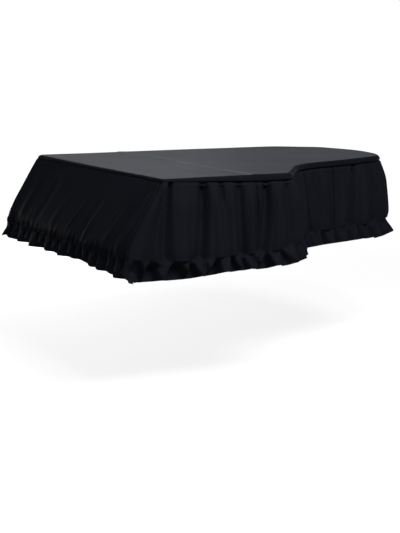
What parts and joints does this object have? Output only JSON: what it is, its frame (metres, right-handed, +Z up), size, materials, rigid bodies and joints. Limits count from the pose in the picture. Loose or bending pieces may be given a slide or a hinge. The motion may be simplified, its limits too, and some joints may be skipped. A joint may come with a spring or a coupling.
{
  "type": "fitted grand piano cover",
  "caption": "Fitted dark cloth cover for a grand piano: flat top with a curved side, sloping front fall, and hanging skirts gathered above a ruffled hem.",
  "frame": {"origin": "middle of the underside of the top, where the cloth lies on the piano's lid", "axes": "+X towards the treble side, +Y towards the tail, +Z up"},
  "size_m": [1.6436, 1.9632, 0.4347],
  "materials": {
    "top_cloth": "plain woven polyester with a slight sheen",
    "skirt_cloth": "plain woven polyester with a slight sheen"
  },
  "bodies": {
    "root": {"top_front_panel": "top_cloth", "top_main_panel": "top_cloth", "front_panel": "skirt_cloth", "treble_skirt": "skirt_cloth", "spine_skirt": "skirt_cloth"}
  },
  "joints": []
}
